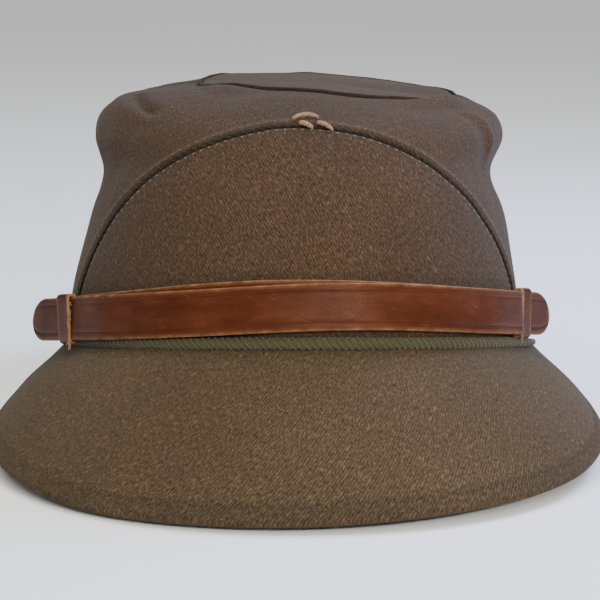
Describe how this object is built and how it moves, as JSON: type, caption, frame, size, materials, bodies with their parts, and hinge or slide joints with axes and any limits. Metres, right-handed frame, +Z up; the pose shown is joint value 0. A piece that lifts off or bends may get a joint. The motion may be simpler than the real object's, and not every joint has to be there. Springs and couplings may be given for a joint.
{
  "type": "military peaked cap",
  "caption": "Soft cloth military cap with a raised crescent front panel, a steep wide cloth visor and a two-part brown leather chin strap.",
  "frame": {"origin": "on the table under the middle of the cap's box; the cap rests on the front edge of its visor and the back of its rim", "axes": "+Z up from the table, -Y the way the visor points, +X to the viewer's right when the visor is faced; the rim plane leans back 12.95 degrees about X"},
  "size_m": [0.2156, 0.264, 0.1226],
  "materials": {
    "crown_wool": "heathered brown-khaki wool twill",
    "visor_wool": "brown-khaki wool over a stiff visor",
    "welt_braid": "olive green ribbed welt",
    "strap_leather": "glossy worn brown leather, raw tan edges",
    "thread": "tan linen thread",
    "lining_cotton": "plain cotton lining",
    "band_leather": "tan oilcloth-smooth leather",
    "buckram": "sized open-weave buckram",
    "visor_board": "pressed fibre board",
    "brass": "dull brass"
  },
  "bodies": {
    "cap": {"front_panel": "crown_wool", "crown_front_band": "crown_wool", "crown_left_quarter": "crown_wool", "crown_right_quarter": "crown_wool", "top_panel": "crown_wool", "top_seam_fold": "crown_wool", "front_seam_fold": "crown_wool", "front_stiffener": "buckram", "side_lining": "lining_cotton", "top_lining": "lining_cotton", "sweatband": "band_leather", "sweatband_reed": "band_leather", "back_seam_tape": "lining_cotton", "visor_core": "visor_board", "visor_top_cloth": "visor_wool", "visor_under_cloth": "visor_wool", "visor_tuck": "visor_wool", "visor_welt": "welt_braid", "badge_threads": "thread", "side_post_left": "brass", "side_post_right": "brass", "post_washer_left": "brass", "post_washer_right": "brass"},
    "chin_strap": {"chin_strap_front": "strap_leather", "chin_strap_rear": "strap_leather", "keeper_left": "strap_leather", "keeper_right": "strap_leather", "post_socket_left": "strap_leather", "post_socket_right": "strap_leather"}
  },
  "joints": [
    {"name": "chin_strap_lift", "type": "hinge", "parent": "cap", "child": "chin_strap", "pos_m": [0, -0.02155, 0.04275], "axis": [-1, 0, 0], "range_deg": [0, 12]}
  ]
}
